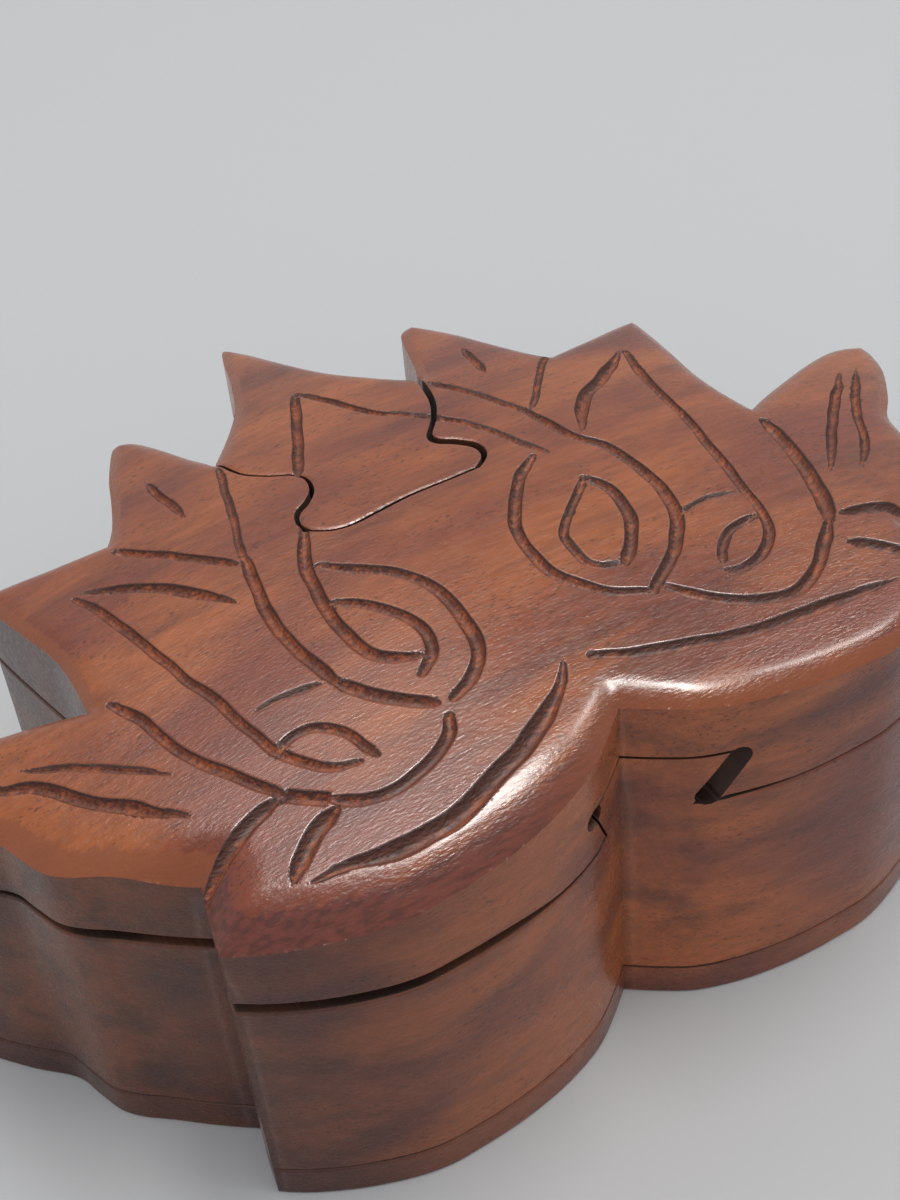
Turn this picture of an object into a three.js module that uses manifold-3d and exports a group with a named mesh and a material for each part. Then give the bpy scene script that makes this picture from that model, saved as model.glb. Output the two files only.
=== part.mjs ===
import * as THREE from "three";
import { mergeVertices } from "three/addons/utils/BufferGeometryUtils.js";
import Module from "manifold-3d";

// A lotus-flower puzzle box sawn from one block of hardwood, in millimetres. The flower lies flat, the cusp
// between its two round lobes faces -Y, the centre petal points to +Y and the box stands on z = 0.
// The lid slides along +Y on a dovetail tongue of the body. The centre petal is a key cut out of the lid,
// which lifts straight up.

// Driving dimensions of the whole box.
const FLOWER_WIDTH = 159;
const FLOWER_DEPTH = 115.2;
const BOX_HEIGHT = 57;
const LID_HEIGHT = 19;
const PLATE_THICKNESS = 5.2;

// Play between pieces that touch, and the width of the blade that cut each of them.
const SEAM_GAP = 0.4;
const GLUE_GAP = 0.1;
const KEY_KERF = 0.8;

// Drill of the holes that start the saw cuts of the dovetail. The right flank is a slot as wide as the drill.
const DRILL = 3.1;

// The dome of the lid: its top sits over the middle of the lobes and it falls away to every petal tip.
const DOME_CENTRE_Y = -24;
const DOME_FALL_SIDE = 10.6;
const DOME_FALL_BACK = 9.4;

// The rim of the round lobes is rounded off by hand, far more on the left than on the right. The rounding is two
// flats, each given by how far in it starts and how far it has fallen at the rim.
const RIM_FLATS_LEFT = [[6.4, 2.6], [4, 3.5]];
const RIM_FLATS_RIGHT = [[4, 1.1], [2.4, 1.6]];
const RIM_CHANGE_X = new THREE.Vector2(8, -22);

// The dovetail tongue of the body: how far its flanks are from the middle at its foot and at its top.
const TONGUE_RISE = 8;
const TONGUE_FOOT_RIGHT = 6.2;
const TONGUE_TOP_RIGHT = 11.1;
const TONGUE_FOOT_LEFT = 4.2;
const TONGUE_TOP_LEFT = 7.4;
const REAR_TONGUE_LENGTH = 11.5;

// The compartment sawn out of the body.
const CAVITY_WIDTH = 92;
const CAVITY_FRONT_Y = -47;
const CAVITY_BACK_Y = 15.5;

// The key petal sits pushed to the front left inside its cut, as far as the blade's width lets it.
const KEY_SHIFT = new THREE.Vector2(-0.3, -0.4);

// The main carved lines: width, then the points that the line runs through, in millimetres from the middle of a
// flower drawn at this size.
const DRAWN_SIZE = new THREE.Vector2(159, 115.2);
const CARVED_LINES = [
  [2, [[-0.5, 31], [-5, 22], [-8.6, 14.5]]],
  [1.7, [[0.5, 32.5], [3.5, 26], [9, 16.5], [15.5, 7], [19.5, -4.5]]],
  [2.2, [[-23.6, 1], [-24.5, -3], [-26, -9.5], [-26.5, -16], [-25.5, -25.5]]],
  [1.6, [[-26, 27.5], [-26, 22], [-25.5, 15]]],
  [1.8, [[-36, 16], [-32.5, 11.5], [-25, 1]]],
  [2.4, [[-43, 11.5], [-38.5, 8], [-34, 3.5], [-28, -6]]],
  [2.4, [[-48.5, -10.5], [-45, -23], [-38.5, -37]]],
  [2.2, [[-67, -10], [-60.5, -16], [-48, -33]]],
  [1.6, [[18, 19.5], [20, 14.5], [23.5, 5]]],
  [1.6, [[26, 28.5], [24.5, 19]]],
  [2.6, [[44.5, 14], [37, 8], [31.5, 4.5], [26, -3]]],
  [3, [[49.5, -13], [46.5, -25.5], [41.5, -36]]],
  [1.9, [[69, -6.5], [59, -16.5], [49, -27.5]]],
  [2.3, [[-14.8, 1.5], [-19.5, -11], [-20.5, -17.5], [-20, -23.5], [-15, -29]]],
  [2.2, [[-19, -14], [-13.5, -21.5], [-12.5, -25.5], [-16.5, -31.5]]],
  [2.2, [[-17, -6.5], [-9.5, -15], [-7.5, -21], [-8, -28], [-15.5, -37]]],
  [2.4, [[-24.5, -27.5], [-23, -30.5], [-17.5, -36.5]]],
  [1.9, [[-44, 11], [-39.5, -12], [-37, -26.5], [-34, -35], [-29, -38.5]]],
  [2.2, [[-17.5, -39], [-23, -43.5], [-31.5, -43.5], [-38.5, -37]]],
  [2.4, [[23, 7], [24.5, -2.5], [27.5, -14], [24.5, -26.5], [14.5, -35.5]]],
  [2.2, [[17.5, -4], [9.5, -12], [5.5, -22.5], [9.5, -33], [14, -36]]],
  [2.2, [[20, -12], [21.5, -16.5], [20, -22.5], [14, -30]]],
  [1.7, [[20, -12], [12.5, -19], [10.5, -25], [14, -30]]],
  [1.9, [[45, 13.5], [40.5, -7], [37, -22.5], [33.5, -34], [24, -37.5]]],
  [2.3, [[41.5, -36], [36, -41], [25.5, -44.5], [15.5, -35.5]]],
  [3.3, [[-1.8, -39.5], [-12, -47.5], [-24, -51.5], [-42, -49]]],
  [2.2, [[1.3, -40.8], [13, -46], [31, -48.5], [42, -49]]],
  [2.8, [[-38.5, -37], [-50.5, -41]]],
  [3, [[-34, -42.3], [-43.5, -48]]],
  [2.4, [[43.5, -35.5], [54, -38]]],
  [2.6, [[40.5, -40.5], [47.5, -47]]],
];
const LINE_STEP = 6.5;
const LINE_DEPTH_PER_WIDTH = 0.5;
const LINE_END_SHARE = 0.2;
const LINE_OVERCUT = 0.5;

// Right half of the flower as smooth runs between its corners, as parts of half the width and of the depth,
// from the cusp round to the tip of the centre petal. Depth runs from 0 at the front to 1 at the back.
const FLOWER_RUNS = [
  [[0, 0.083], [0.05, 0.056], [0.102, 0.033], [0.176, 0.015], [0.25, 0.005], [0.31, 0.001], [0.365, 0],
    [0.42, 0.001], [0.478, 0.01], [0.553, 0.03], [0.623, 0.056], [0.669, 0.079]],
  [[0.669, 0.079], [0.66, 0.11], [0.65, 0.135], [0.639, 0.159]],
  [[0.639, 0.159], [0.694, 0.19], [0.751, 0.226], [0.788, 0.248], [0.815, 0.272], [0.832, 0.306],
    [0.85, 0.341], [0.905, 0.382], [0.969, 0.44], [0.996, 0.482], [1, 0.5]],
  [[1, 0.5], [0.985, 0.508], [0.93, 0.509], [0.855, 0.492], [0.767, 0.466], [0.69, 0.442], [0.64, 0.424]],
  [[0.64, 0.424], [0.632, 0.476], [0.633, 0.532], [0.648, 0.591], [0.663, 0.649], [0.672, 0.692], [0.67, 0.7]],
  [[0.67, 0.7], [0.66, 0.701], [0.61, 0.693], [0.556, 0.683], [0.503, 0.675], [0.45, 0.667]],
  [[0.45, 0.667], [0.424, 0.695], [0.396, 0.742], [0.37, 0.792], [0.34, 0.837], [0.322, 0.86], [0.311, 0.865]],
  [[0.311, 0.865], [0.297, 0.861], [0.28, 0.848], [0.258, 0.81], [0.233, 0.758], [0.208, 0.718]],
  [[0.208, 0.718], [0.151, 0.765], [0.097, 0.821], [0.054, 0.895], [0.028, 0.953], [0.01, 0.988], [0, 1]],
];

// Centre line of the saw cut round the key, from its left end at the petal notch to its right end, in the same
// parts of half the width and of the depth.
const KEY_CUT_RUNS = [
  [[-0.208, 0.718], [-0.191, 0.668], [-0.155, 0.637], [-0.126, 0.62], [-0.113, 0.6], [-0.121, 0.575],
    [-0.145, 0.557], [-0.172, 0.545], [-0.184, 0.525], [-0.177, 0.506]],
  [[-0.177, 0.506], [-0.15, 0.491], [-0.115, 0.484], [-0.06, 0.486], [0, 0.489], [0.07, 0.488], [0.13, 0.488]],
  [[0.13, 0.488], [0.153, 0.5], [0.164, 0.514], [0.162, 0.532], [0.142, 0.551], [0.119, 0.566], [0.117, 0.582],
    [0.142, 0.604], [0.17, 0.633], [0.189, 0.665], [0.208, 0.718]],
];

// Right half of the compartment, as parts of half its width and of its depth.
const CAVITY_HALF = [
  [0, 0.16], [0.2, 0.075], [0.48, 0.005], [0.75, 0.02], [0.94, 0.13], [1, 0.34], [0.97, 0.58], [0.86, 0.78],
  [0.66, 0.93], [0.36, 0.99], [0, 1],
];

const RUN_STEPS = 4;
const DOME_RINGS = 14;
const DOME_SEGMENTS = 56;
const DOME_REACH = 1.25;
const HOLE_SEGMENTS = 14;
const OVERCUT = 2;
const NO_SHIFT = new THREE.Vector2(0, 0);

const halfWidth = FLOWER_WIDTH / 2;
const frontY = -FLOWER_DEPTH / 2;
const seamHeight = BOX_HEIGHT - LID_HEIGHT;
const bodyTop = seamHeight - SEAM_GAP;
const tongueTop = bodyTop + TONGUE_RISE;
const grooveTop = tongueTop + SEAM_GAP;
const rearTongueEnd = CAVITY_BACK_Y + REAR_TONGUE_LENGTH;
const drillRadius = DRILL / 2;
const footHoleHeight = bodyTop - SEAM_GAP + drillRadius;
const topHoleHeight = grooveTop + SEAM_GAP / 2 - drillRadius;
const domeReachBack = -frontY - DOME_CENTRE_Y;

const plan = ([u, v]) => new THREE.Vector2(u * halfWidth, frontY + v * FLOWER_DEPTH);
const drawn = ([x, y]) => new THREE.Vector2(x * FLOWER_WIDTH / DRAWN_SIZE.x, y * FLOWER_DEPTH / DRAWN_SIZE.y);
const keySideReach = plan(KEY_CUT_RUNS[2].at(-1)).x;

const wasm = await Module();
wasm.setup();

// Solid of a closed three.js geometry.
function solidOf(geometry) {
  geometry.deleteAttribute("normal");
  geometry.deleteAttribute("uv");
  const merged = mergeVertices(geometry, 1e-5);
  return new wasm.Manifold(new wasm.Mesh({
    numProp: 3,
    vertProperties: new Float32Array(merged.attributes.position.array),
    triVerts: new Uint32Array(merged.index.array),
  }));
}

// Prism over a plan outline between two heights.
function prism(points, low, high) {
  const geometry = new THREE.ExtrudeGeometry(new THREE.Shape(points), { depth: high - low, bevelEnabled: false });
  geometry.translate(0, 0, low);
  return solidOf(geometry);
}

// Prism with the same section all along Y, the section given as x and z.
function rail(section, fromY, toY) {
  const geometry = new THREE.ExtrudeGeometry(new THREE.Shape(section), { depth: toY - fromY, bevelEnabled: false });
  geometry.rotateX(Math.PI / 2);
  geometry.translate(0, toY, 0);
  return solidOf(geometry);
}

function slab(width, fromY, toY, low, high) {
  const half = width / 2;
  const corners = [[-half, fromY], [half, fromY], [half, toY], [-half, toY]];
  return prism(corners.map(([x, y]) => new THREE.Vector2(x, y)), low, high);
}

// Points of smooth runs that meet at corners, each corner written once.
function smoothRuns(runs) {
  const points = [];
  for (const run of runs) {
    const curve = new THREE.SplineCurve(run);
    const steps = RUN_STEPS * (run.length - 1);
    for (let i = 0; i < steps; i += 1) points.push(curve.getPoint(i / steps));
  }
  points.push(runs.at(-1).at(-1));
  return points;
}

// A half outline that starts and ends on x = 0, joined with its mirror image, counter-clockwise.
function mirrored(half) {
  const left = half.slice(1, -1).reverse().map((p) => new THREE.Vector2(-p.x, p.y));
  return [...half, ...left];
}

// Points moved sideways by a distance, to the right of the way the line runs.
function offsetLine(points, distance) {
  return points.map((p, i) => {
    const before = points[Math.max(i - 1, 0)];
    const after = points[Math.min(i + 1, points.length - 1)];
    const along = new THREE.Vector2().subVectors(after, before).normalize();
    return new THREE.Vector2(p.x + along.y * distance, p.y - along.x * distance);
  });
}

// Region behind the key's saw cut, grown by a distance. It reaches past the petal so that the flower's own
// outline ends it.
function keyRegion(distance, shift) {
  const line = offsetLine(smoothRuns(KEY_CUT_RUNS.map((run) => run.map(plan))), distance);
  const backY = -frontY + 2 * OVERCUT;
  const side = keySideReach + distance;
  const ends = [new THREE.Vector2(side, backY), new THREE.Vector2(-side, backY)];
  return [...line, ...ends].map((p) => p.clone().add(shift));
}

const flower = mirrored(smoothRuns(FLOWER_RUNS.map((run) => run.map(plan))));
const cavityDepth = CAVITY_BACK_Y - CAVITY_FRONT_Y;
const cavityHalf = CAVITY_HALF.map(([u, v]) => (
  new THREE.Vector2(u * CAVITY_WIDTH / 2, CAVITY_FRONT_Y + v * cavityDepth)
));
const cavity = mirrored(smoothRuns([cavityHalf]));

// The dome is a paraboloid turned about its top and stretched to fall by the two amounts.
function domeSolid() {
  const sideScale = (halfWidth / Math.sqrt(DOME_FALL_SIDE)) / (domeReachBack / Math.sqrt(DOME_FALL_BACK));
  const profile = [new THREE.Vector2(0, 0)];
  for (let i = DOME_RINGS; i >= 0; i -= 1) {
    const t = DOME_REACH * i / DOME_RINGS;
    if (i === DOME_RINGS) profile.push(new THREE.Vector2(t * domeReachBack, 0));
    profile.push(new THREE.Vector2(t * domeReachBack, BOX_HEIGHT - DOME_FALL_BACK * t * t));
  }
  const geometry = new THREE.LatheGeometry(profile, DOME_SEGMENTS);
  geometry.rotateX(Math.PI / 2);
  geometry.scale(sideScale, 1, 1);
  geometry.translate(0, DOME_CENTRE_Y, 0);
  return solidOf(geometry);
}

// Height of the dome over a place in the plan.
function domeHeight(p) {
  const side = p.x / halfWidth;
  const back = (p.y - DOME_CENTRE_Y) / domeReachBack;
  return BOX_HEIGHT - DOME_FALL_SIDE * side * side - DOME_FALL_BACK * back * back;
}

// Solid that runs through sections and is closed by flat ends. Corners go clockwise as seen along the way.
function loft(sections) {
  const count = sections[0].length;
  const last = count * (sections.length - 1);
  const index = [];
  for (let from = 0; from < last; from += count) {
    for (let j = 0; j < count; j += 1) {
      const a = from + j;
      const b = from + (j + 1) % count;
      index.push(a, b, a + count, b, b + count, a + count);
    }
  }
  for (let j = 1; j + 1 < count; j += 1) index.push(0, j + 1, j, last, last + j, last + j + 1);
  const geometry = new THREE.BufferGeometry();
  geometry.setAttribute("position", new THREE.Float32BufferAttribute(sections.flat(2), 3));
  geometry.setIndex(index);
  return solidOf(geometry);
}

// Section across a line at a place: its corners as steps to the right of the line and heights above the dome.
function sectionAt(place, along, corners) {
  return corners.map(([right, up]) => {
    const p = new THREE.Vector2(place.x + along.y * right, place.y - along.x * right);
    return [p.x, p.y, domeHeight(place) + up];
  });
}

// V-shaped cut of a gouge that runs in and out thin.
function gougeCut([width, line]) {
  const curve = new THREE.SplineCurve(line.map(drawn));
  const steps = Math.max(3, Math.round(curve.getLength() / LINE_STEP));
  return loft(Array.from({ length: steps + 1 }, (_, i) => {
    const atEnd = i === 0 || i === steps;
    const half = width / 2 * (atEnd ? LINE_END_SHARE : 1);
    const depth = 2 * half * LINE_DEPTH_PER_WIDTH;
    const wide = half * (depth + LINE_OVERCUT) / depth;
    return sectionAt(curve.getPointAt(i / steps), curve.getTangentAt(i / steps), [
      [-wide, LINE_OVERCUT], [wide, LINE_OVERCUT], [0, -depth],
    ]);
  }));
}

// Solid outside one of the flats that round off the rim of a lobe. The outline runs with the wood on its left.
function rimFlat(lobe, which) {
  return loft(lobe.map((p, i) => {
    const before = lobe[Math.max(i - 1, 0)];
    const after = lobe[Math.min(i + 1, lobe.length - 1)];
    const along = new THREE.Vector2().subVectors(after, before).normalize();
    const left = THREE.MathUtils.smoothstep(-p.x, -RIM_CHANGE_X.x, -RIM_CHANGE_X.y);
    const [start, fall] = RIM_FLATS_RIGHT[which].map((size, k) => (
      THREE.MathUtils.lerp(size, RIM_FLATS_LEFT[which][k], left)
    ));
    const inner = new THREE.Vector2(p.x - along.y * start, p.y + along.x * start);
    const innerUp = domeHeight(inner) - domeHeight(p);
    const slope = (innerUp + fall) / start;
    return sectionAt(p, along, [[-start, innerUp], [OVERCUT, OVERCUT], [OVERCUT, -fall - slope * OVERCUT]]);
  }));
}

const rightFlank = (z) => THREE.MathUtils.mapLinear(z, bodyTop, tongueTop, TONGUE_FOOT_RIGHT, TONGUE_TOP_RIGHT);
const leftFlank = (z) => -THREE.MathUtils.mapLinear(z, bodyTop, tongueTop, TONGUE_FOOT_LEFT, TONGUE_TOP_LEFT);

// Section of the dovetail with its flanks moved outwards.
function dovetailSection(low, high, growLeft, growRight) {
  return [
    new THREE.Vector2(leftFlank(low) - growLeft, low), new THREE.Vector2(rightFlank(low) + growRight, low),
    new THREE.Vector2(rightFlank(high) + growRight, high), new THREE.Vector2(leftFlank(high) - growLeft, high),
  ];
}

// Hole drilled along the box, as far back as the tongue reaches.
function drilled(x, z) {
  const ring = Array.from({ length: HOLE_SEGMENTS }, (_, i) => {
    const turn = 2 * Math.PI * i / HOLE_SEGMENTS;
    return new THREE.Vector2(x + drillRadius * Math.cos(turn), z + drillRadius * Math.sin(turn));
  });
  return rail(ring, frontY - OVERCUT, rearTongueEnd);
}

// The cuts beside the tongue: a slot between two holes on the right, and one hole at the top on the left.
const slotShift = drillRadius * Math.hypot(1, (TONGUE_TOP_RIGHT - TONGUE_FOOT_RIGHT) / TONGUE_RISE);
const slot = wasm.Manifold.hull([
  drilled(rightFlank(footHoleHeight) + slotShift, footHoleHeight),
  drilled(rightFlank(topHoleHeight) + slotShift, topHoleHeight),
]);
const leftHole = drilled(leftFlank(topHoleHeight) - SEAM_GAP, topHoleHeight);
const dovetailCuts = slot.add(leftHole);

// Body: the block with its compartment sawn through, and the tongue left standing at both ends of it. The slot
// shapes the tongue's right flank.
const tongue = rail(
  dovetailSection(bodyTop - OVERCUT, tongueTop, 0, drillRadius / 2),
  frontY - OVERCUT,
  rearTongueEnd,
);
const body = prism(flower, PLATE_THICKNESS + GLUE_GAP, bodyTop)
  .add(tongue.intersect(prism(flower, bodyTop - OVERCUT, BOX_HEIGHT)))
  .subtract(dovetailCuts)
  .subtract(prism(cavity, 0, BOX_HEIGHT));

const plate = prism(flower, 0, PLATE_THICKNESS);

// The carved top of the block, before the key is cut out of it.
const rightLobe = FLOWER_RUNS[0].map(plan);
const lobes = [rightLobe, rightLobe.map((p) => new THREE.Vector2(-p.x, p.y)).reverse()];
const rimFlats = lobes.flatMap((lobe) => [rimFlat(lobe, 0), rimFlat(lobe, 1)]);
const carved = prism(flower, seamHeight, BOX_HEIGHT + OVERCUT)
  .intersect(domeSolid())
  .subtract(wasm.Manifold.union([...rimFlats, ...CARVED_LINES.map(gougeCut)]));

// Lid: the rest of the block above the saw cut, with the dovetail groove and the cut for the key.
const groove = rail(
  dovetailSection(seamHeight - OVERCUT, grooveTop, SEAM_GAP, drillRadius),
  frontY - OVERCUT,
  rearTongueEnd + OVERCUT,
);
const lid = carved
  .subtract(groove.add(dovetailCuts))
  .subtract(prism(keyRegion(KEY_KERF / 2, NO_SHIFT), 0, BOX_HEIGHT + OVERCUT));

// Key petal: the piece inside that cut. Its straight-sided recess clears the rear tongue, so that it can lift.
const recessWidth = 2 * (TONGUE_TOP_RIGHT + SEAM_GAP);
const wideRecessEnd = CAVITY_BACK_Y - SEAM_GAP;
const key = carved
  .intersect(prism(keyRegion(-KEY_KERF / 2, KEY_SHIFT), 0, BOX_HEIGHT + OVERCUT))
  .subtract(slab(recessWidth, frontY, rearTongueEnd + SEAM_GAP, 0, grooveTop))
  .subtract(slab(halfWidth, frontY, wideRecessEnd, 0, grooveTop));

function meshOf(name, solid, colour, roughness) {
  const data = solid.getMesh();
  const geometry = new THREE.BufferGeometry();
  geometry.setAttribute("position", new THREE.Float32BufferAttribute(data.vertProperties, 3));
  geometry.setIndex(new THREE.Uint32BufferAttribute(data.triVerts, 1));
  geometry.computeVertexNormals();
  const mesh = new THREE.Mesh(geometry, new THREE.MeshStandardMaterial({ color: colour, roughness, metalness: 0 }));
  mesh.name = name;
  return mesh;
}

const box = new THREE.Group();
box.name = "lotus_puzzle_box";
box.add(
  meshOf("body_block", body, 0x5e3a30, 0.38),
  meshOf("bottom_plate", plate, 0x64402f, 0.42),
  meshOf("lid", lid, 0x8e4f37, 0.34),
  meshOf("key_petal", key, 0x9a5838, 0.34),
);

export default box;
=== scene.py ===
import math

import bmesh
import bpy
import numpy as np
from mathutils import Matrix, Vector, noise
from mathutils.geometry import delaunay_2d_cdt
from mathutils.kdtree import KDTree


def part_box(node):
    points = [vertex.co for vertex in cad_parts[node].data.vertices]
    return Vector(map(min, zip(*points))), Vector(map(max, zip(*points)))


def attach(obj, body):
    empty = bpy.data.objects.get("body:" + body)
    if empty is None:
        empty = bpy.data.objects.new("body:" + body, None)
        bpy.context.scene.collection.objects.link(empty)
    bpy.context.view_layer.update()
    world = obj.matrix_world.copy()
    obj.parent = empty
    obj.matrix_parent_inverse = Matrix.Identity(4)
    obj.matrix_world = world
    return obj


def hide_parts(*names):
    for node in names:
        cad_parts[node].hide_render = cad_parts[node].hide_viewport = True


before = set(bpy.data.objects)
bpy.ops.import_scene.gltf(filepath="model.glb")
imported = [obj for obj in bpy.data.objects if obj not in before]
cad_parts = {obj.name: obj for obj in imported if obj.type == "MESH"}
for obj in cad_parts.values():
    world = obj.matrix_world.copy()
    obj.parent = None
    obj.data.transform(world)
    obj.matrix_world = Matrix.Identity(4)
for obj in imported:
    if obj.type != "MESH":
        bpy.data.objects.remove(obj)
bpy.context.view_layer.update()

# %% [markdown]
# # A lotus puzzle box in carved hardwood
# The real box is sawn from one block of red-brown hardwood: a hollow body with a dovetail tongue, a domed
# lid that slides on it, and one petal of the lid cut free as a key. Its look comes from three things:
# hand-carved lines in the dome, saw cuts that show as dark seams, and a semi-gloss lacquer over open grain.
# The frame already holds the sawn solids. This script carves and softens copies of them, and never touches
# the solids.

MM = 0.001

# %% [markdown]
# ## Camera
# The photograph looks down on the box from the front left, close by and slightly rolled. Its angles were
# found by matching mirrored petals and upright walls, so the camera is set from azimuth, pitch and roll.

# %% Camera
CAMERA_PLACE = Vector((-88.2, -175.1, 210.5)) * MM
CAMERA_AZIMUTH, CAMERA_PITCH, CAMERA_ROLL = (math.radians(a) for a in (28.0, 41.76, -5.63))
PHOTO_HEIGHT_PX, FOCAL_PX = 1200, 1887
SENSOR = 36.0
NEAREST_SEEN = 0.01


def aimed(azimuth, pitch, roll):
    """Rotation of a camera that looks along +Y at azimuth 0, turned right, tipped down and rolled."""
    forward = math.cos(pitch)
    look = Vector((math.sin(azimuth) * forward, math.cos(azimuth) * forward, -math.sin(pitch)))
    level = Vector((math.cos(azimuth), -math.sin(azimuth), 0))
    upright = level.cross(look)
    right = level * math.cos(roll) + upright * math.sin(roll)
    up = upright * math.cos(roll) - level * math.sin(roll)
    return Matrix((right, up, -look)).transposed()


camera = bpy.data.objects.new("camera", bpy.data.cameras.new("camera"))
camera.data.sensor_fit = "VERTICAL"
camera.data.sensor_height = SENSOR
camera.data.lens = SENSOR * FOCAL_PX / PHOTO_HEIGHT_PX
camera.data.clip_start = NEAREST_SEEN
turned = aimed(CAMERA_AZIMUTH, CAMERA_PITCH, CAMERA_ROLL)
camera.matrix_world = Matrix.Translation(CAMERA_PLACE) @ turned.to_4x4()
bpy.context.collection.objects.link(camera)
bpy.context.scene.camera = camera
print("lens", round(camera.data.lens, 1), "mm on", SENSOR, "mm")

# %% [markdown]
# ## Reading the sawn outline
# The carving follows the flower's outline. Drawn a second time here, the two could drift apart, so it is
# read off the underside of the bottom plate, where it is one closed loop of edges.

# %% Outline
FACES_DOWN = -0.9


def world_mesh(node):
    """Vertices (mm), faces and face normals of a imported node."""
    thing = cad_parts[node]
    mesh = thing.data
    points = np.array([tuple(thing.matrix_world @ v.co) for v in mesh.vertices]) / MM
    normals = np.array([tuple(p.normal) for p in mesh.polygons])
    return points, [tuple(p.vertices) for p in mesh.polygons], normals


def border(faces, chosen):
    """Directed edges of the chosen faces that no other chosen face shares."""
    edges = set()
    for i in np.flatnonzero(chosen):
        corners = faces[i]
        for a, b in zip(corners, corners[1:] + corners[:1]):
            if (b, a) in edges:
                edges.discard((b, a))
            else:
                edges.add((a, b))
    return edges


def merged(points, faces):
    """Faces with vertices at one place made one."""
    seen = {}
    first = [seen.setdefault(tuple(np.round(p, 3)), i) for i, p in enumerate(points)]
    return [tuple(first[i] for i in face) for face in faces]


plate_points, plate_faces, plate_normals = world_mesh("bottom_plate")
outline_edges = border(merged(plate_points, plate_faces), plate_normals[:, 2] < FACES_DOWN)
outline = np.array([[plate_points[a][:2], plate_points[b][:2]] for a, b in outline_edges])
outline_length = np.linalg.norm(outline[:, 1] - outline[:, 0], axis=1).sum()
print("outline of", len(outline), "edges,", round(outline_length), "mm long")

# %% [markdown]
# ## Reading the dome
# The top of the real lid was sanded to a shallow dome. Its height is a smooth function of x and y, which a
# least-squares fit to the lid's upper vertices gives back. The carved lines and the rounded rim lie below
# it, so each round of the fit drops the vertices that lie deeper.

# %% Dome
FACES_UP = 0.8
DOME_ABOVE = 46.0
FIT_ROUNDS, FIT_BELOW = 12, 0.06
TOP_REACH = 5.0


def dome_terms(x, y):
    return np.stack([np.ones(len(x)), x**2, y, y**2], 1)


lid_points, lid_faces, lid_normals = world_mesh("lid")
domed = sorted({i for face, n in zip(lid_faces, lid_normals) if n[2] > FACES_UP for i in face})
top = lid_points[domed]
kept = top[:, 2] > DOME_ABOVE
for _ in range(FIT_ROUNDS):
    terms = dome_terms(top[kept, 0], top[kept, 1])
    DOME = np.linalg.lstsq(terms, top[kept, 2], rcond=None)[0]
    kept = top[:, 2] > dome_terms(top[:, 0], top[:, 1]) @ DOME - FIT_BELOW
print("dome fit to", int(kept.sum()), "of", len(top), "vertices")


def near_dome(points):
    """Whether points lie no further below the dome than the carving and the rounded rim reach."""
    return points[:, 2] > dome_terms(points[:, 0], points[:, 1]) @ DOME - TOP_REACH


# %% [markdown]
# ## The carving
# Each line on the top is one pass of a narrow gouge, and the two halves of the flower differ a little
# because they were cut by hand. So each line is a short list of points (mm) with one width, and a spline
# through them is the path of the tool.

# %% Gouge lines on the petals
PETAL_LINES = {
    "key_left": (1.7, [(0.2, 32.4), (-4.6, 22.6), (-9.6, 12.6)]),
    "key_right": (1.4, [(0.5, 32.5), (3.5, 26), (6, 20), (9, 16.5), (13, 11.5), (15.5, 7), (17.5, 1),
                        (19.5, -4.5)]),
    "left_border_1": (1.1, [(-17, 22.5), (-20.5, 11.5), (-24, 0.5)]),
    "left_border_1_low": (1.9, [(-23.6, 1), (-24.5, -3), (-26, -9.5), (-26.5, -16), (-26, -22),
                                (-25.2, -27)]),
    "left_vein_1": (1.3, [(-26, 27.5), (-26, 22), (-25.5, 15)]),
    "left_border_2": (1.5, [(-36, 16), (-32.5, 11.5), (-28, 5.5), (-25, 1)]),
    "left_vein_2": (2.0, [(-43, 11.5), (-38.5, 8), (-34, 3.5), (-28, -6)]),
    "left_border_3": (1.6, [(-48.5, -10.5), (-46.5, -15.5), (-45, -23), (-43, -28), (-40.5, -33),
                            (-38.5, -37)]),
    "left_vein_3_upper": (1.1, [(-61.5, -12), (-54.5, -18), (-47, -26)]),
    "left_vein_3_lower": (2.0, [(-67, -10), (-64.5, -13), (-60.5, -16), (-57, -22), (-53, -27), (-48, -33)]),
    "right_border_1": (1.3, [(16.5, 22), (20, 14.5), (23.5, 5)]),
    "right_vein_1": (1.3, [(26, 28.5), (24.5, 19)]),
    "right_border_2": (1.0, [(35, 19), (32.5, 16.5), (28, 11), (24, 6.5)]),
    "right_vein_2": (2.2, [(44.5, 14), (37, 8), (31.5, 4.5), (26, -3)]),
    "right_border_3": (2.5, [(49.5, -13), (48.5, -18.5), (46.5, -25.5), (44.5, -31), (41.5, -36)]),
    "right_vein_3_upper": (1.6, [(69, -6.5), (59, -16.5), (49, -27.5)]),
    "right_vein_3_lower": (1.4, [(72, -6.5), (64, -15.5), (58.5, -23.5), (53.5, -28.5)]),
}
print(len(PETAL_LINES), "lines on the petals")

# %% [markdown]
# The scrolls in the middle turn back in hooks, circles and eyes. Below them each lobe carries one long arc,
# with two short strokes at its outer end.

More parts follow.
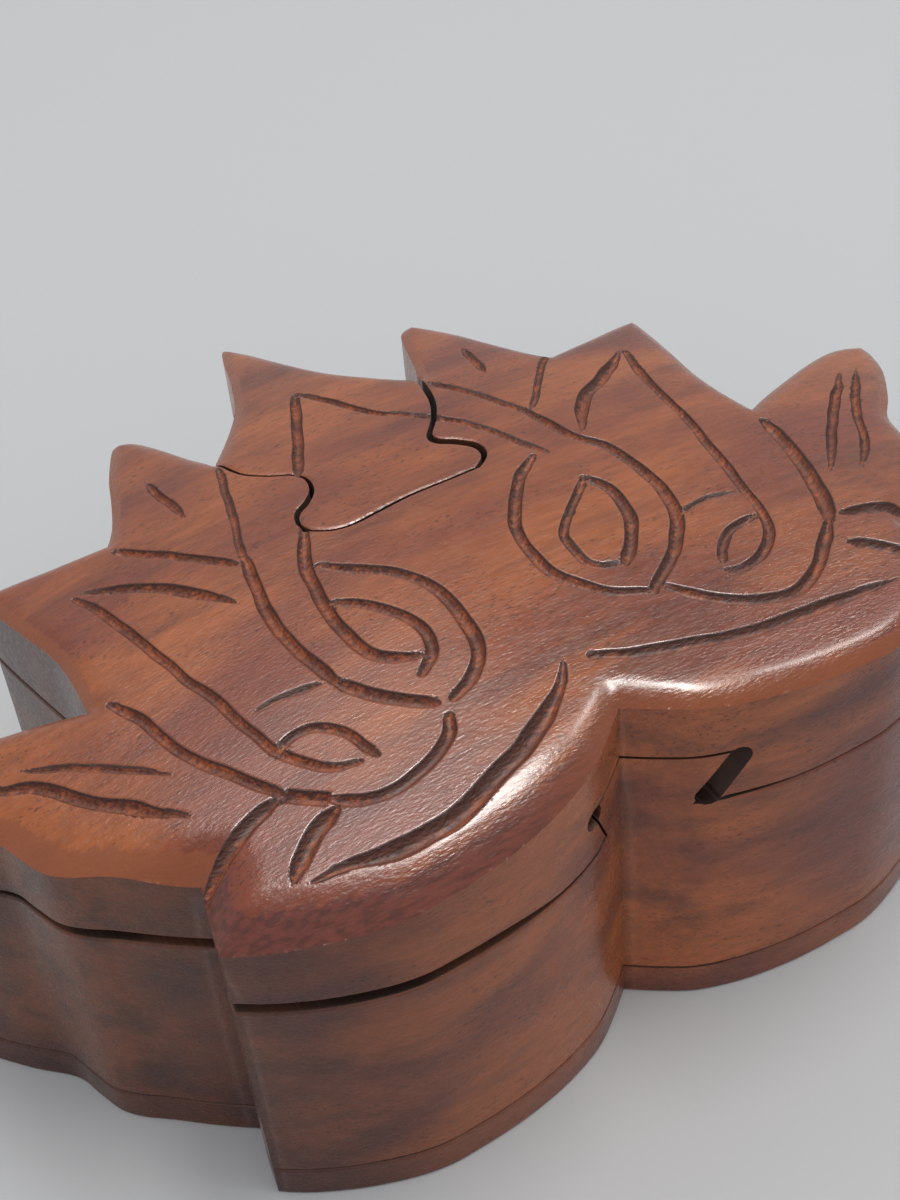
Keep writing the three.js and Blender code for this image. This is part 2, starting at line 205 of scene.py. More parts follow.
# %% Gouge lines of the scrolls and lobes
SCROLL_LINES = {
    "left_hook": (1.9, [(-14.8, 1.5), (-18, -5), (-19.5, -11), (-20.5, -17.5), (-20, -23.5), (-18, -27),
                        (-15, -29)]),
    "left_eye": (1.8, [(-19, -14), (-16, -17), (-13.5, -21.5), (-12.5, -25.5), (-13.5, -29), (-16.5, -31.5)]),
    "left_circle": (1.9, [(-17, -6.5), (-13, -11), (-9.5, -15), (-7.5, -21), (-8, -28), (-9, -32),
                          (-12, -35.5), (-15.5, -37)]),
    "left_circle_foot": (2.0, [(-25.2, -26.8), (-23, -30.5), (-20, -34), (-17.5, -36.5)]),
    "left_stem": (1.5, [(-44, 11), (-42, 4), (-39.5, -12), (-38, -19.5), (-37, -26.5), (-36, -31.5),
                        (-34, -35), (-32, -37.5), (-29, -38.5)]),
    "left_curl": (1.5, [(-36, -31.5), (-34, -30.5), (-31.5, -30.5), (-29.5, -32), (-28, -34.5), (-27, -39)]),
    "left_dash": (1.1, [(-35.5, -24), (-30.5, -24.5), (-26.5, -25.5)]),
    "left_outer": (1.8, [(-17.5, -39), (-19, -41.5), (-23, -43.5), (-27.5, -44.5), (-31.5, -43.5),
                         (-34.5, -41)]),
    "left_outer_back": (2.0, [(-34.5, -41), (-36, -39.5), (-38.5, -37)]),
    "right_circle": (2.0, [(23, 7), (24.5, -2.5), (27, -8), (27.5, -14), (27, -21), (24.5, -26.5),
                           (20, -31.5), (14.5, -35.5)]),
    "right_inner": (1.8, [(17.5, -4), (13.5, -7), (9.5, -12), (6.5, -17), (5.5, -22.5), (6, -27.5),
                          (9.5, -33), (14, -36)]),
    "right_eye_outer": (1.9, [(20, -12), (21.5, -16.5), (20, -22.5), (17, -27), (14, -30)]),
    "right_eye_inner": (1.4, [(20, -12), (16.5, -15.5), (12.5, -19), (10.5, -22.5), (10.5, -27.5),
                              (14, -30)]),
    "right_stem": (1.6, [(45, 13.5), (42, 3.5), (40.5, -7), (38.5, -15.5), (37, -22.5), (35.5, -29),
                         (33.5, -34), (30, -37), (26.5, -38), (24, -37.5)]),
    "right_curl": (1.4, [(34, -30.5), (30.5, -31), (27.5, -32.5), (24.5, -36)]),
    "right_dash": (1.0, [(25.5, -25.5), (30, -24.5), (35, -25)]),
    "right_outer": (1.9, [(41.5, -36), (36, -41), (30.5, -44.5), (25.5, -44.5), (19.5, -41), (15.5, -35.5)]),
}
LOBE_LINES = {
    "left_arc": (2.6, [(-1.8, -39.5), (-5.5, -43.5), (-12, -47.5), (-17.5, -49.5), (-24, -51.5),
                       (-31.5, -51.5), (-37, -50), (-42, -49)]),
    "right_arc": (1.9, [(1.3, -40.8), (6, -43.5), (13, -46), (20.5, -48), (31, -48.5), (42, -49)]),
    "left_stroke_1": (2.4, [(-38.5, -37), (-43, -38), (-50.5, -41)]),
    "left_stroke_2": (2.5, [(-34, -42.3), (-38, -44), (-43.5, -48)]),
    "right_stroke_1": (2.0, [(43.5, -35.5), (49, -36.5), (54, -38)]),
    "right_stroke_2": (2.2, [(40.5, -40.5), (43.5, -42.5), (47.5, -47)]),
}
GOUGE_LINES = {**PETAL_LINES, **SCROLL_LINES, **LOBE_LINES}
CUT_SQUARE_AT_START = {"right_arc", "left_outer", "left_circle_foot", "left_border_1_low", "key_left"}
CUT_SQUARE_AT_END = {"left_eye", "left_circle", "left_stroke_1", "right_inner", "right_circle"}
print(len(GOUGE_LINES), "lines in all")

# %% [markdown]
# ## The hand that cut them
# A drawn spline is too even. Slow noise along the path lets the tool drift sideways and the cut swell and
# shrink. Veins, dashes and the lines on the lobes run out to a point, the others end blunt, and a few were
# stopped square.

# %% Passes of the gouge
TOOL_STEP = 0.55
SWELL, SWELL_PER_MM, SWELL_SEED = 0.16, 0.17, 0.3
DRIFT, DRIFT_PER_MM, DRIFT_SEED = 0.22, 0.26, 40.3
POINTED, BLUNT = (0.1, 0.22), (0.5, 0.1)
SQUARE_WIDTH = 0.75
TAPER_POWER = 0.8
THINNEST_HALF = 0.12
LIP_ROWS = (0.2, 0.55)
RING_POINTS, RING_INNER = 10, 0.6


def spline(points, step):
    """Points about a step apart on a Catmull-Rom spline through the given ones."""
    points = np.array(points, float)
    ends = np.vstack([2 * points[0] - points[1], points, 2 * points[-1] - points[-2]])
    path = []
    for a, b, c, d in zip(ends, ends[1:], ends[2:], ends[3:]):
        count = max(2, round(float(np.linalg.norm(c - b)) / step))
        t = (np.arange(count) / count)[:, None]
        bend, twist = 2 * a - 5 * b + 4 * c - d, 3 * b - a - 3 * c + d
        path.append(0.5 * (2 * b + (c - a) * t + bend * t**2 + twist * t**3))
    return np.vstack([*path, points[-1:]])


def unsteady(path, per_mm, seed):
    """A slow random value between -1 and 1 for each point of a path."""
    return np.array([noise.noise(Vector((x * per_mm, y * per_mm, seed))) for x, y in path])


def gouge_pass(name, width, points):
    """Path of one line and half its width along it, unsteady as a hand is."""
    path = spline(points, TOOL_STEP)
    along = np.linspace(0, 1, len(path))
    tangent = np.gradient(path, axis=0)
    tangent /= np.linalg.norm(tangent, axis=1)[:, None]
    side = np.stack([-tangent[:, 1], tangent[:, 0]], 1)
    thin, run = POINTED if name in LOBE_LINES or "vein" in name or "dash" in name else BLUNT
    square = [name in ends for ends in (CUT_SQUARE_AT_START, CUT_SQUARE_AT_END)]
    least = [SQUARE_WIDTH if stopped else thin for stopped in square]
    taper = [low + (1 - low) * np.clip(far / run, 0, 1) ** TAPER_POWER
             for low, far in zip(least, (along, 1 - along))]
    swell = unsteady(path, SWELL_PER_MM, SWELL_SEED + len(name))
    drift = unsteady(path, DRIFT_PER_MM, DRIFT_SEED + len(name))
    half = np.maximum(width / 2 * np.minimum(*taper) * (1 + SWELL * swell), THINNEST_HALF)
    return {"path": path + side * DRIFT * drift[:, None], "side": side, "half": half}


def end_rings(one):
    """Points round both ends of a line, where the gouge came out of the wood."""
    for i in (0, -1):
        half = one["half"][i]
        for turn in np.arange(0, math.tau, math.tau / RING_POINTS):
            for reach in (RING_INNER * half, half, *(half + row for row in LIP_ROWS)):
                yield one["path"][i] + reach * np.array((math.cos(turn), math.sin(turn)))


passes = [gouge_pass(name, *line) for name, line in GOUGE_LINES.items()]
print("about", round(sum(len(one["path"]) for one in passes) * TOOL_STEP / 10), "cm of carving")

# %% [markdown]
# ## Height of the finished top
# All that the carver did to the dome can be said as a height: the dome, less a rounding near the sawn
# edges, less the gouge lines. It is one function of x and y, so it shapes the mesh now, and later tells the
# material which points lie in a groove or on a rounded edge. First come the distances it needs.

# %% Distances in plan


def to_edges(points, edges):
    """Distance from each point to the nearest of many short edges."""
    nearest = np.full(len(points), np.inf)
    for a, b in edges:
        along = b - a
        t = np.clip((points - a) @ along / (along @ along), 0, 1)
        nearest = np.minimum(nearest, np.hypot(*(points - a - t[:, None] * along).T))
    return nearest


def inside(points, edges):
    """Whether each point lies inside the loops that the edges make."""
    crossings = np.zeros(len(points), int)
    for (ax, ay), (bx, by) in edges:
        between = (points[:, 1] < ay) != (points[:, 1] < by)
        if ay != by:
            crossings += between & (points[:, 0] < ax + (points[:, 1] - ay) * (bx - ax) / (by - ay))
    return crossings % 2 == 1


def depth_in(points, edges):
    """Distance to the edges, above 0 inside the loops they make and below 0 outside."""
    return to_edges(points, edges) * np.where(inside(points, edges), 1, -1)


print("the flower's middle lies", round(depth_in(np.zeros((1, 2)), outline)[0], 1), "mm from its edge")

# %% [markdown]
# A gouge leaves a round channel, deepest in the middle. Depth goes with width, because a carver widens a line
# by pressing harder.

# %% Depth of the gouge lines
GOUGE_DEPTH_PER_WIDTH = 0.52
GOUGE_ROUNDNESS = 1.6
POINTS_AT_ONCE = 4000


def carved(points):
    """How deep (mm) and how far across (1 in the middle, 0 at the lip) the gouge lines are at each point."""
    depth, across = np.zeros(len(points)), np.zeros(len(points))
    for one in passes:
        path, half = one["path"], one["half"]
        low, high = path.min(0) - half.max(), path.max(0) + half.max()
        near = np.flatnonzero(((points > low) & (points < high)).all(1))
        for part in np.array_split(near, max(1, len(near) // POINTS_AT_ONCE)):
            gap = np.linalg.norm(points[part, None] - path[None], axis=2)
            at = gap.argmin(1)
            t = gap[np.arange(len(part)), at] / half[at]
            here = half[at] * 2 * GOUGE_DEPTH_PER_WIDTH * np.clip(1 - t**GOUGE_ROUNDNESS, 0, 1)
            depth[part] = np.maximum(depth[part], here)
            across[part] = np.maximum(across[part], np.clip(1 - t, 0, 1))
    return depth, across


print("deepest cut", round(max(carved(one["path"])[0].max() for one in passes), 2), "mm")

# %% [markdown]
# The edges were rounded by sanding, much more at the left than elsewhere, and the blade left a tiny chamfer
# beside the cut round the key. Each edge is a fall over a width in mm, and smooth steps in x and y lead
# from one to the next. A few slow waves stand for sanding by hand.

# %% Height of the top
FINISH_CUT = 0.12
PETAL_EDGE, SIDE_EDGE = (1.1, 3.2), (1.6, 6.5)
LOBE_EDGE_LEFT, LOBE_EDGE_RIGHT = (3.5, 7.4), (1.6, 3.6)
SAW_EDGE = (0.16, 0.4)
RIM_POWER, SAW_POWER = 2.4, 2.0
BEYOND_EDGE = 1.5
LOBES_Y, LEFT_X = (-32, -39), (8, -22)
SIDE_X, SIDE_Y = (-46, -54), (-12, -20)
LEFT_RIM_Y = (-38.5, -41.5)
SANDING_DEPTH = 0.24
WAVES = [(46, 0.4, 0.0), (31, 1.9, 2.0), (24, 3.0, 4.0), (19, 5.1, 1.0)]


def blend_step(low, high, x):
    t = np.clip((x - low) / (high - low), 0, 1)
    return t * t * (3 - 2 * t)


def edge_fall(distance, fall, width, power):
    return fall * np.clip(1 - distance / width, 0, BEYOND_EDGE) ** power


def unevenness(x, y):
    """Slow waves that sanding by hand leaves, from 0 to the deepest."""
    waves = [np.sin((x * math.cos(turn) + y * math.sin(turn)) * math.tau / length + start)
             for length, turn, start in WAVES]
    return SANDING_DEPTH * (1 + sum(waves) / len(waves)) / 2


def finished_height(points, saw_edges):
    """Height of the top, and how far a point is into a groove, down the rim and on the left lobe's rim."""
    x, y = points.T
    distance = depth_in(points, outline)
    lobe, left = blend_step(*LOBES_Y, y), blend_step(*LEFT_X, x)
    side = blend_step(*SIDE_X, x) * blend_step(*SIDE_Y, y) * (1 - lobe)
    fall, width = (
        PETAL_EDGE[i] * (1 - lobe - side) + SIDE_EDGE[i] * side
        + lobe * (LOBE_EDGE_LEFT[i] * left + LOBE_EDGE_RIGHT[i] * (1 - left))
        for i in (0, 1)
    )
    rounded = edge_fall(distance, fall, width, RIM_POWER)
    chamfer = edge_fall(to_edges(points, saw_edges), *SAW_EDGE, SAW_POWER)
    depth, across = carved(points)
    height = dome_terms(x, y) @ DOME - FINISH_CUT - unevenness(x, y) - (rounded + chamfer) - depth
    return height, across, np.clip(1 - distance / width, 0, 1), blend_step(*LEFT_RIM_Y, y) * left


print("lobe rims fall", LOBE_EDGE_LEFT[0], "mm at the left,", LOBE_EDGE_RIGHT[0], "at the right")

# %% [markdown]
# ## Points for a carved surface
# Sculpting or a voxel remesh would leave the grooves' lips ragged unless the mesh were very dense. So
# points are laid in rows along every groove and edge, and sparsely elsewhere. A Delaunay triangulation
# joins them, so that mesh edges run along the cuts.

# %% Points in plan
GROOVE_ROWS = (-1.0, -0.84, -0.5, 0, 0.5, 0.84, 1.0)
EDGE_ROWS = (0.0, 0.3, 0.7, 1.2, 1.9, 2.8, 3.9, 5.2, 6.8, -0.3, -1.6)
SAW_ROWS = (0.0, 0.2, 0.45, 0.8, -0.3)
EDGE_STEP, SAW_STEP, OPEN_STEP = 0.7, 0.6, 1.35
CLOSEST, GRID_CLEARANCE = 0.11, 0.55
MARGIN = 2.0
SAME_PLACE = 1e-3
OFF_OUTLINE = 0.08


def cut_beside_key(node):
    """Edges round a node's top, where tall walls meet it, that lie on the saw cut between lid and key."""
    points, faces, _ = world_mesh(node)
    faces = merged(points, faces)
    high = near_dome(points)
    edges = border(faces, np.array([high[list(face)].all() for face in faces]))
    edges = np.array([(points[a][:2], points[b][:2]) for a, b in edges])
    edges = edges[np.linalg.norm(edges[:, 1] - edges[:, 0], axis=1) > SAME_PLACE]
    return edges[to_edges(edges.mean(1), outline) > OFF_OUTLINE]


def rows_along(edges, rows, step):
    """Points beside edges, at each row's distance to the left of them."""
    along = edges[:, 1] - edges[:, 0]
    length = np.linalg.norm(along, axis=1)
    side = np.stack([-along[:, 1], along[:, 0]], 1) / length[:, None]
    found = []
    for row in rows:
        for a, run, out, size in zip(edges[:, 0], along, side, length):
            found.extend(a + run * t + out * row for t in np.arange(0, 1, min(1, step / size)))
    return found


def thinned(points, closest):
    """Points in order, each kept only if no earlier kept one is closer than the least distance."""
    kept_points, cells = [], {}
    for p in points:
        cell = (int(p[0] // closest), int(p[1] // closest))
        around = (cells.get((cell[0] + i, cell[1] + j), ()) for i in (-1, 0, 1) for j in (-1, 0, 1))
        if all((p[0] - q[0]) ** 2 + (p[1] - q[1]) ** 2 > closest**2 for near in around for q in near):
            cells.setdefault(cell, []).append(p)
            kept_points.append(p)
    return kept_points


def plan_points(low, high, saw_edges):
    """Rows of points beside every cut and edge within a box, and a loose grid where there are none."""
    laid = rows_along(saw_edges, SAW_ROWS, SAW_STEP)
    laid += rows_along(outline[:, ::-1], EDGE_ROWS, EDGE_STEP)
    laid += [p + s * h * row for one in passes for row in GROOVE_ROWS
             for p, s, h in zip(one["path"], one["side"], one["half"])]
    laid += [p for one in passes for p in end_rings(one)]
    laid += [p + s * (h + row) * way for one in passes for row in LIP_ROWS for way in (-1, 1)
             for p, s, h in zip(one["path"], one["side"], one["half"])]
    fine = thinned([p for p in laid if (p > low - MARGIN).all() and (p < high + MARGIN).all()], CLOSEST)
    near = KDTree(len(fine))
    for i, p in enumerate(fine):
        near.insert((*p, 0), i)
    near.balance()
    xs, ys = (np.arange(low[i] - MARGIN, high[i] + MARGIN, OPEN_STEP) for i in (0, 1))
    grid = [np.array((x + (i % 2) * OPEN_STEP / 2, y)) for i, y in enumerate(ys) for x in xs]
    return fine + [p for p in grid if near.find((*p, 0))[2] > OPEN_STEP * GRID_CLEARANCE]


saw_cuts = {node: cut_beside_key(node) for node in ("lid", "key_petal")}
print("saw cut round the key:", {node: len(edges) for node, edges in saw_cuts.items()}, "edges")

# %% [markdown]
# ## Blanks with a carved top
# Closed below, the carved surface becomes a block. A boolean intersection of that block with the sawn solid
# leaves the walls where they were sawn and gives them the finished top.

# %% Blanks
BLANK_FLOOR = 30.0


def blank(name, node, saw_edges):
    """A block with the finished surface on top, and its foot within the height of the node."""
    low, high = ((np.array(corner) / MM)[:2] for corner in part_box(node))
    free = plan_points(low, high, saw_edges)
    corners = np.vstack([outline, saw_edges]).reshape(-1, 2)
    pairs = [(len(free) + i, len(free) + i + 1) for i in range(0, len(corners), 2)]
    joined = delaunay_2d_cdt([Vector(p) for p in (*free, *corners)], pairs, [], 0, SAME_PLACE)
    plan = np.array([tuple(v) for v in joined[0]])
    height = finished_height(plan, saw_edges)[0]
    bm = bmesh.new()
    upper = [bm.verts.new((x * MM, y * MM, z * MM)) for (x, y), z in zip(plan, height)]
    for face in joined[2]:
        bm.faces.new([upper[i] for i in face])
    skirt = bmesh.ops.extrude_edge_only(bm, edges=[e for e in bm.edges if e.is_boundary])["geom"]
    for v in skirt:
        if isinstance(v, bmesh.types.BMVert):
            v.co.z = BLANK_FLOOR * MM
    bmesh.ops.contextual_create(bm, geom=[e for e in bm.edges if e.is_boundary])
    bmesh.ops.recalc_face_normals(bm, faces=bm.faces)
    mesh = bpy.data.meshes.new(name)
    bm.to_mesh(mesh)
    bm.free()
    return bpy.data.objects.new(name, mesh)


blanks = {node: blank(node + "_blank", node, edges) for node, edges in saw_cuts.items()}
for node, made in blanks.items():
    print(node, "blank of", len(made.data.polygons), "faces")

# %% [markdown]
# ## Eased arrises
# No sawn and sanded edge is sharp: a light catches on every arris. A bevel needs clean edges, and the
# solids' walls are long thin triangles. So loops are cut into the wall beside each arris and drawn inwards
# by a few tenths of a millimetre.

# %% Easing the arrises
EASING = [(0.45, 0.0), (0.2, 0.07), (0.06, 0.2), (0.0, 0.42)]
EASING_RISES, EASING_DRAWS = zip(*reversed(EASING))
SHARPEST = 0.3
CUT_WELD = 1e-7
TONGUE_X, TONGUE_Y = (-8.0, 12.0), -38.0
BELOW_ARRIS = -0.01


def spot(x, y):
    """Rounded place in plan, the same for vertices above each other."""
    return round(x, 2), round(y, 2)


def corner_normals(edges):
    """Inward direction at each outline corner, longer where the corner is sharper, by its place."""
    sums = {}
    for a, b in edges:
        run = (b - a) / np.linalg.norm(b - a)
        for end in (a, b):
            sums.setdefault(spot(*end), []).append(np.array((run[1], -run[0])))
    means = {place: np.mean(sides, 0) for place, sides in sums.items()}
    return {place: mean / max(SHARPEST, float(mean @ mean)) for place, mean in means.items()}


inward = corner_normals(outline)


def ease(bm, level, up):
    """Rounds the outline's arris at one level: cuts loops into the wall beside it and draws them in."""
    for rise, _ in EASING[:-1]:
        geometry = [*bm.verts, *bm.edges, *bm.faces]
        bmesh.ops.bisect_plane(bm, geom=geometry, dist=CUT_WELD, plane_co=(0, 0, (level + up * rise) * MM),
                               plane_no=(0, 0, 1))
    count = 0
    for v in bm.verts:
        x, y, z = (part / MM for part in v.co)
        rise = (z - level) * up
        on_tongue = up < 0 and TONGUE_X[0] < x < TONGUE_X[1] and y < TONGUE_Y
        if spot(x, y) in inward and BELOW_ARRIS < rise < EASING_RISES[-1] and not on_tongue:
            side = inward[spot(x, y)]
            draw = np.interp(rise, EASING_RISES, EASING_DRAWS)
            v.co.x += draw * side[0] * MM
            v.co.y += draw * side[1] * MM
            count += 1
    return count


print(len(inward), "corners on the outline")

# %% [markdown]
# ## The gaping seam
# On the left the saw wandered upwards, so the seam between lid and body gapes there as a wide dark line:
# the lower rim of the lid is raised a little. On the right it is shut, and the rim comes down.

# %% Seam between lid and body
SEAM_Z, SEAM_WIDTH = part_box("lid")[0][2] / MM, 0.4
SEAM_RISE, RISE_LEFT_X, RISE_RIGHT_X = 1.1, (-72, -60), (-12, -24)
SEAM_FALL, FALL_LEFT_X, FALL_RIGHT_X = 0.3, (14, 20), (72, 66)
SEAM_BAND, SEAM_FRONT_Y, SEAM_RIM = EASING_RISES[-1] + 0.05, -12, 0.6


def open_seam(bm):
    """Raises the outer lower rim of the lid on the left, and lowers it on the right."""
    low = [v for v in bm.verts if v.co.z / MM < SEAM_Z + SEAM_BAND and v.co.y < SEAM_FRONT_Y * MM]
    points = np.array([tuple(v.co)[:2] for v in low]) / MM
    x = points[:, 0]
    rise = SEAM_RISE * blend_step(*RISE_RIGHT_X, x) * blend_step(*RISE_LEFT_X, x)
    fall = SEAM_FALL * blend_step(*FALL_LEFT_X, x) * blend_step(*FALL_RIGHT_X, x)
    for v, near, part in zip(low, to_edges(points, outline) < SEAM_RIM, rise - fall):
        v.co.z += part * near * MM


print("seam at", round(SEAM_Z, 1), "mm, opened by up to", SEAM_RISE, "mm")

# %% [markdown]
# ## Softened solids
# Each solid is copied, its flat faces are made whole again, and its arrises are eased. The carved upper
# side is lifted flat first, so that the walls reach past the finished surface, which then cuts them.

# %% Softened copies
LIFTED = 62.0
LIFTED_SLACK = 1e-3
WELD = 0.002
FLAT_WITHIN = math.radians(0.4)
LEVELS = {
    "body_block": [(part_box("body_block")[0][2] / MM, 1), (SEAM_Z - SEAM_WIDTH, -1)],
    "bottom_plate": [(0.0, 1), (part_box("bottom_plate")[1][2] / MM, -1)],
    "lid": [(SEAM_Z, 1)],
    "key_petal": [(SEAM_Z, 1)],
}


def lift_top(bm):
    """Moves every vertex near the dome straight up to one height."""
    points = np.array([tuple(v.co) for v in bm.verts]) / MM
    for v, high in zip(bm.verts, near_dome(points)):
        if high:
            v.co.z = LIFTED * MM


def softened(name, node):
    """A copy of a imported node, in one skin, with the arrises along its outline eased."""
    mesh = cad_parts[node].data.copy()
    mesh.materials.clear()
    bm = bmesh.new()
    bm.from_mesh(mesh)
    bmesh.ops.remove_doubles(bm, verts=bm.verts, dist=WELD * MM)
    if node in saw_cuts:
        lift_top(bm)
    walls = [e for e in bm.edges if min(v.co.z for v in e.verts) < (LIFTED - LIFTED_SLACK) * MM]
    bmesh.ops.dissolve_limit(bm, angle_limit=FLAT_WITHIN, verts=[], edges=walls)
    count = sum(ease(bm, level, up) for level, up in LEVELS[node])
    if node == "lid":
        open_seam(bm)
    bmesh.ops.triangulate(bm, faces=bm.faces)
    loose = sum(not e.is_manifold for e in bm.edges)
    bm.to_mesh(mesh)
    bm.free()
    made = bpy.data.objects.new(name, mesh)
    bpy.context.collection.objects.link(made)
    print(name, count, "vertices drawn in,", len(mesh.polygons), "faces,", loose, "open edges")
    return made


body = softened("body", "body_block")
plate = softened("plate", "bottom_plate")
lid = softened("lid_carved", "lid")
key = softened("key_carved", "key_petal")

# %% [markdown]
# ## Carving
# Now each lifted copy is cut down to its blank. Faces of the blank are marked before the cut, so that the
# carved top can be told from the walls afterwards.

# %% Carving the lid and the key


def intersect(piece, block):
    """Cuts a piece down to what lies inside a block, and marks the faces that come from the block."""
    bpy.context.collection.objects.link(block)
    for mesh, mark in ((piece.data, 0.0), (block.data, 1.0)):
        marks = mesh.attributes.new("from_block", "FLOAT", "FACE")
        marks.data.foreach_set("value", [mark] * len(mesh.polygons))
    cut = piece.modifiers.new("carve", "BOOLEAN")
    cut.operation, cut.object, cut.solver = "INTERSECT", block, "MANIFOLD"
    evaluated = piece.evaluated_get(bpy.context.evaluated_depsgraph_get())
    mesh = bpy.data.meshes.new_from_object(evaluated)
    mesh.materials.clear()
    piece.modifiers.clear()
    piece.data = mesh
    bpy.data.objects.remove(block)


for piece, node in ((lid, "lid"), (key, "key_petal")):
    intersect(piece, blanks[node])
    print(piece.name, len(piece.data.polygons), "faces after carving")

# %% [markdown]
# ## Which points lie in a cut
# The cuts are bare, scorched wood, with painted shade on the side that faces the front. The rounded rim was
# sanded through to a redder layer, which on the left lobe is darkened with painted shade. The height function
# that shaped the top also says how far each finished vertex is into a groove and down the rim.
# Both go into vertex attributes for the material.

# %% Attributes for the material
ON_TOP = 0.4


def describe(piece, saw_edges):
    """Stores a carved piece's groove and rim attributes, and returns the share of it in grooves."""
    mesh = piece.data
    points = np.array([tuple(v.co) for v in mesh.vertices]) / MM
    height, across, rim, left_rim = finished_height(points[:, :2], saw_edges)
    on_top = np.abs(points[:, 2] - height) < ON_TOP
    across = np.where(on_top, across, 0)
    for name, values in (("groove", across), ("rim", np.where(on_top, rim, 0)), ("left_rim", left_rim)):
        mesh.attributes.new(name, "FLOAT", "POINT").data.foreach_set("value", np.asarray(values, np.float32))
    return np.mean(across > 0)


for piece, node in ((lid, "lid"), (key, "key_petal")):
    print(piece.name, round(100 * describe(piece, saw_cuts[node])), "% of the vertices in grooves")

# %% [markdown]
# ## Which finish each face gets
# Three finishes meet on the box: the lacquered top, the sanded and lacquered walls, and raw wood wherever
# only the saw has been: in the seam, the dovetail and the compartment.

# %% Sorting the faces
TOP, WALL, SAWN = 0, 1, 2
WALL_DEPTH = 0.6
LEVEL_FACE = 0.9
UNDERSIDE = 1.0


def sort_faces(piece):
    """Gives each face the number of its finish: carved top, sanded wall, or raw from the saw."""
    mesh = piece.data
    middles = np.array([tuple(face.center) for face in mesh.polygons]) / MM
    outer = to_edges(middles[:, :2], outline) < WALL_DEPTH
    from_block = mesh.attributes.get("from_block")
    for i, (face, near_edge, middle) in enumerate(zip(mesh.polygons, outer, middles)):
        if from_block and from_block.data[i].value > 0.5:
            face.material_index = TOP
        elif near_edge and abs(face.normal.z) < LEVEL_FACE or middle[2] < UNDERSIDE:
            face.material_index = WALL
        else:
            face.material_index = SAWN


for piece in (body, plate, lid, key):
    sort_faces(piece)
    counts = np.bincount([face.material_index for face in piece.data.polygons], minlength=3)
    print(piece.name, "faces carved, sanded and sawn:", *counts)

# %% [markdown]
# ## Smooth walls, crisp lines
# The solids' walls are flat strips, which smooth shading alone would blend with whatever lies beside them.
# So their normals are set from the outline: they turn evenly round its curves and break at its corners. The
# line round the carved top stays crisp.

# %% Smooth shading
STILL_ROUND = math.cos(math.radians(14))
SHARP_FROM = math.radians(36)
UPRIGHT_FACE = 0.05
ON_OUTLINE = 0.02


def outline_normals(points):
    """Outward direction of the outline at each point, turning evenly round its curves, and the distance."""
    nearest, found = np.full(len(points), np.inf), np.zeros((len(points), 3))
    for a, b in outline:
        run = b - a
        size = np.linalg.norm(run)
        flat = np.array((-run[1], run[0])) / size
        t = np.clip((points - a) @ run / size**2, 0, 1)[:, None]
        gap = np.hypot(*(points - a - t * run).T)
        first, last = (-inward[spot(*end)] / np.linalg.norm(inward[spot(*end)]) for end in (a, b))
        first, last = (end if end @ flat > STILL_ROUND else flat for end in (first, last))
        closer = gap < nearest
        nearest[closer] = gap[closer]
        found[closer, :2] = (first * (1 - t) + last * t)[closer]
    return found / np.linalg.norm(found, axis=1)[:, None], nearest


def smoothed(piece):
    """Smooth shading with a crisp line round the carved top, and walls that turn as the outline does."""
    mesh = piece.data
    mesh.shade_smooth()
    mesh.set_sharp_from_angle(angle=SHARP_FROM)
    sides = {}
    for face in mesh.polygons:
        for pair in face.edge_keys:
            sides.setdefault(pair, set()).add(face.material_index == TOP)
    for edge in mesh.edges:
        if len(sides[edge.key]) == 2:
            edge.use_edge_sharp = True
    upright = [i for face in mesh.polygons
               if face.material_index == WALL and abs(face.normal.z) < UPRIGHT_FACE
               for i in face.loop_indices]
    places = np.array([tuple(mesh.vertices[mesh.loops[i].vertex_index].co)[:2] for i in upright]) / MM
    outward, away = outline_normals(places)
    normals = np.zeros((len(mesh.loops), 3))
    for i, direction, gap in zip(upright, outward, away):
        if gap < ON_OUTLINE:
            normals[i] = direction
    mesh.normals_split_custom_set(normals.tolist())
    return int((away < ON_OUTLINE).sum())


for piece in (body, plate, lid, key):
    print(piece.name, smoothed(piece), "wall normals follow the outline")

# %% [markdown]
# ## Building materials
# Materials are made of shader nodes. One helper adds a node with its settings and links, and links the
# first output in use of a node it is given. Colours are sRGB hex values, as a paint chip gives them, turned
# to the linear values that the renderer mixes.

# %% Helpers for shaders


def linear(colour):
    """Linear colour of an sRGB hex value."""
    parts = [int(colour[i:i + 2], 16) / 255 for i in (1, 3, 5)]
    return (*(c / 12.92 if c <= 0.04045 else ((c + 0.055) / 1.055) ** 2.4 for c in parts), 1.0)


def add(tree, kind, inputs=(), **settings):
    """Adds a node, sets its properties, and sets or links its inputs."""
    made = tree.nodes.new("ShaderNode" + kind)
    for name, value in settings.items():
        setattr(made, name, value)
    for slot, value in dict(inputs).items():
        if isinstance(value, bpy.types.Node):
            value = next(out for out in value.outputs if out.enabled)
        if isinstance(value, bpy.types.NodeSocket):
            tree.links.new(value, made.inputs[slot])
        else:
            made.inputs[slot].default_value = value
    return made


def material(name):
    """A new material with an empty node tree."""
    made = bpy.data.materials.new(name)
    made.use_nodes = True
    made.node_tree.nodes.clear()
    return made, made.node_tree


def finish_off(tree, inputs):
    """Ends a material's tree with its shader."""
    add(tree, "OutputMaterial", {"Surface": add(tree, "BsdfPrincipled", inputs)})


print("mid grey #808080 is", round(linear("#808080")[0], 3), "in linear light")

# %% [markdown]
# ## Grain
# The wood is a red-brown tropical hardwood of the kind sold as suar or mahogany. Its patterns are noise,
# stretched along the grain and measured in millimetres in the solid's own space, so the grain runs through
# the block and round its corners, as an image of wood would not. Real pores are some 0.15 mm wide, too fine
# to show, so they are drawn about twice as wide.

